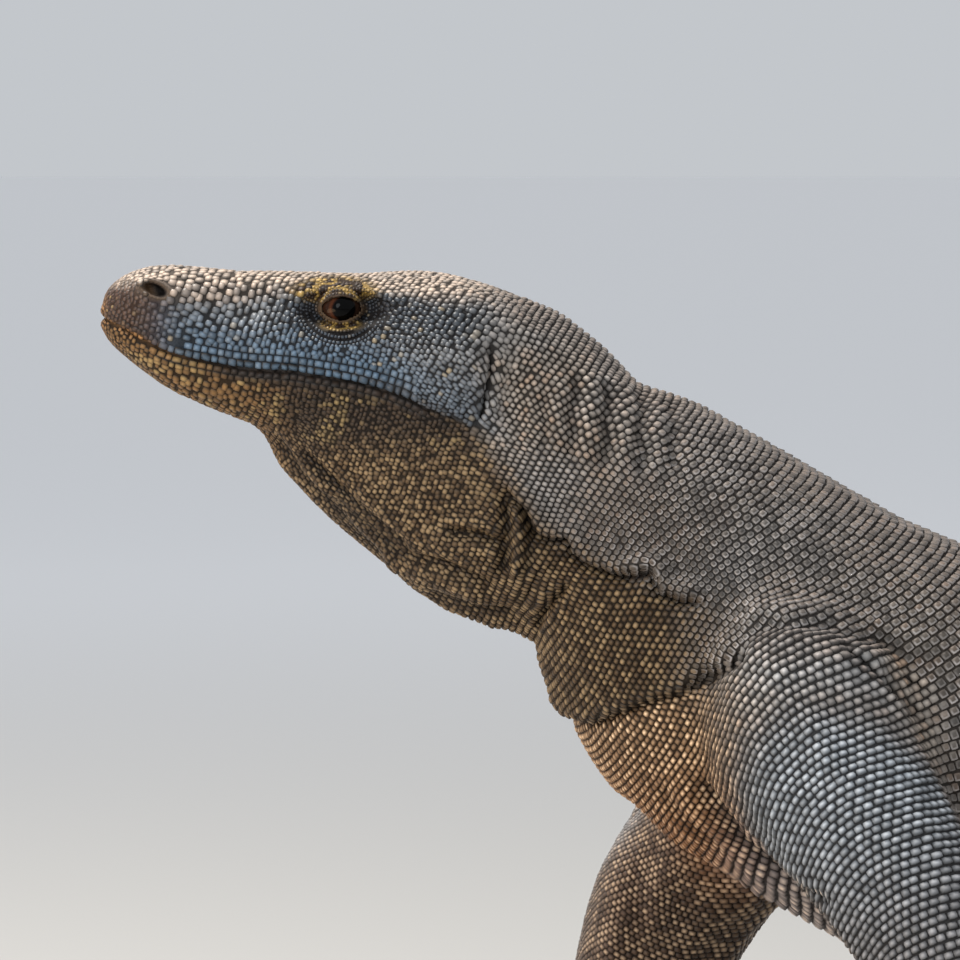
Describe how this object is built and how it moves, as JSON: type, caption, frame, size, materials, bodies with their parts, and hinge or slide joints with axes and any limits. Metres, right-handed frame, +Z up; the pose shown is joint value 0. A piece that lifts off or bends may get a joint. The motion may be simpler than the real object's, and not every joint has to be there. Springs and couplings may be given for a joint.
{
  "type": "komodo dragon",
  "caption": "Life-size Komodo dragon model, a large monitor lizard walking with its head raised, standing on clawed feet with its tail on the floor.",
  "frame": {"origin": "middle of the bottom of the whole animal's box, on the floor that its soles rest on", "axes": "-X the way the head points, -Y the animal's left side, +Z up"},
  "size_m": [2.4618, 0.6684, 0.5084],
  "materials": {
    "hide": "matt scaly hide",
    "horn": "smooth dark horn",
    "eye": "wet gloss"
  },
  "bodies": {
    "root": {"head": "hide", "lower_jaw": "hide", "neck": "hide", "trunk": "hide", "tail_base": "hide", "tail_middle": "hide", "tail_end": "hide", "upper_arm_left": "hide", "upper_arm_right": "hide", "forearm_left": "hide", "forearm_right": "hide", "hand_left": "hide", "hand_right": "hide", "thigh_left": "hide", "thigh_right": "hide", "shank_left": "hide", "shank_right": "hide", "foot_left": "hide", "foot_right": "hide", "claw_fore_left_1": "horn", "claw_fore_left_2": "horn", "claw_fore_left_3": "horn", "claw_fore_left_4": "horn", "claw_fore_left_5": "horn", "claw_fore_right_1": "horn", "claw_fore_right_2": "horn", "claw_fore_right_3": "horn", "claw_fore_right_4": "horn", "claw_fore_right_5": "horn", "claw_hind_left_1": "horn", "claw_hind_left_2": "horn", "claw_hind_left_3": "horn", "claw_hind_left_4": "horn", "claw_hind_left_5": "horn", "claw_hind_right_1": "horn", "claw_hind_right_2": "horn", "claw_hind_right_3": "horn", "claw_hind_right_4": "horn", "claw_hind_right_5": "horn", "eye_left": "eye", "eye_right": "eye"}
  },
  "joints": []
}
